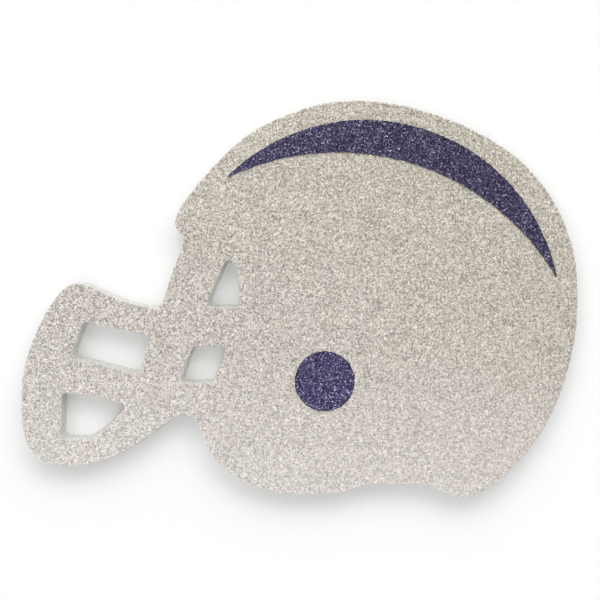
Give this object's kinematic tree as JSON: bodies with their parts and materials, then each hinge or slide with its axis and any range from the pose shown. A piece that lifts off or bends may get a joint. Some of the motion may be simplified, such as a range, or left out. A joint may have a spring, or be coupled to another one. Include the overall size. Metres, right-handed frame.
{
  "type": "football helmet foam cut-out",
  "caption": "Flat football helmet cut-out in thick foam, with face mask gaps, a silver glitter face, an indigo glitter crescent on the crown and a round indigo ear disc.",
  "frame": {"origin": "middle of the outline's box on the plain back face, which lies on Z = 0", "axes": "+X from the face mask to the back of the helmet, +Y from the jaw to the crown, +Z out of the glitter face"},
  "size_m": [0.1516, 0.1086, 0.0058],
  "materials": {
    "foam": "matte",
    "silver_glitter": "satin",
    "indigo_glitter": "satin"
  },
  "bodies": {
    "root": {"foam_core": "foam", "silver_glitter_face": "silver_glitter", "crescent_stripe": "indigo_glitter", "ear_disc": "indigo_glitter"}
  },
  "joints": []
}
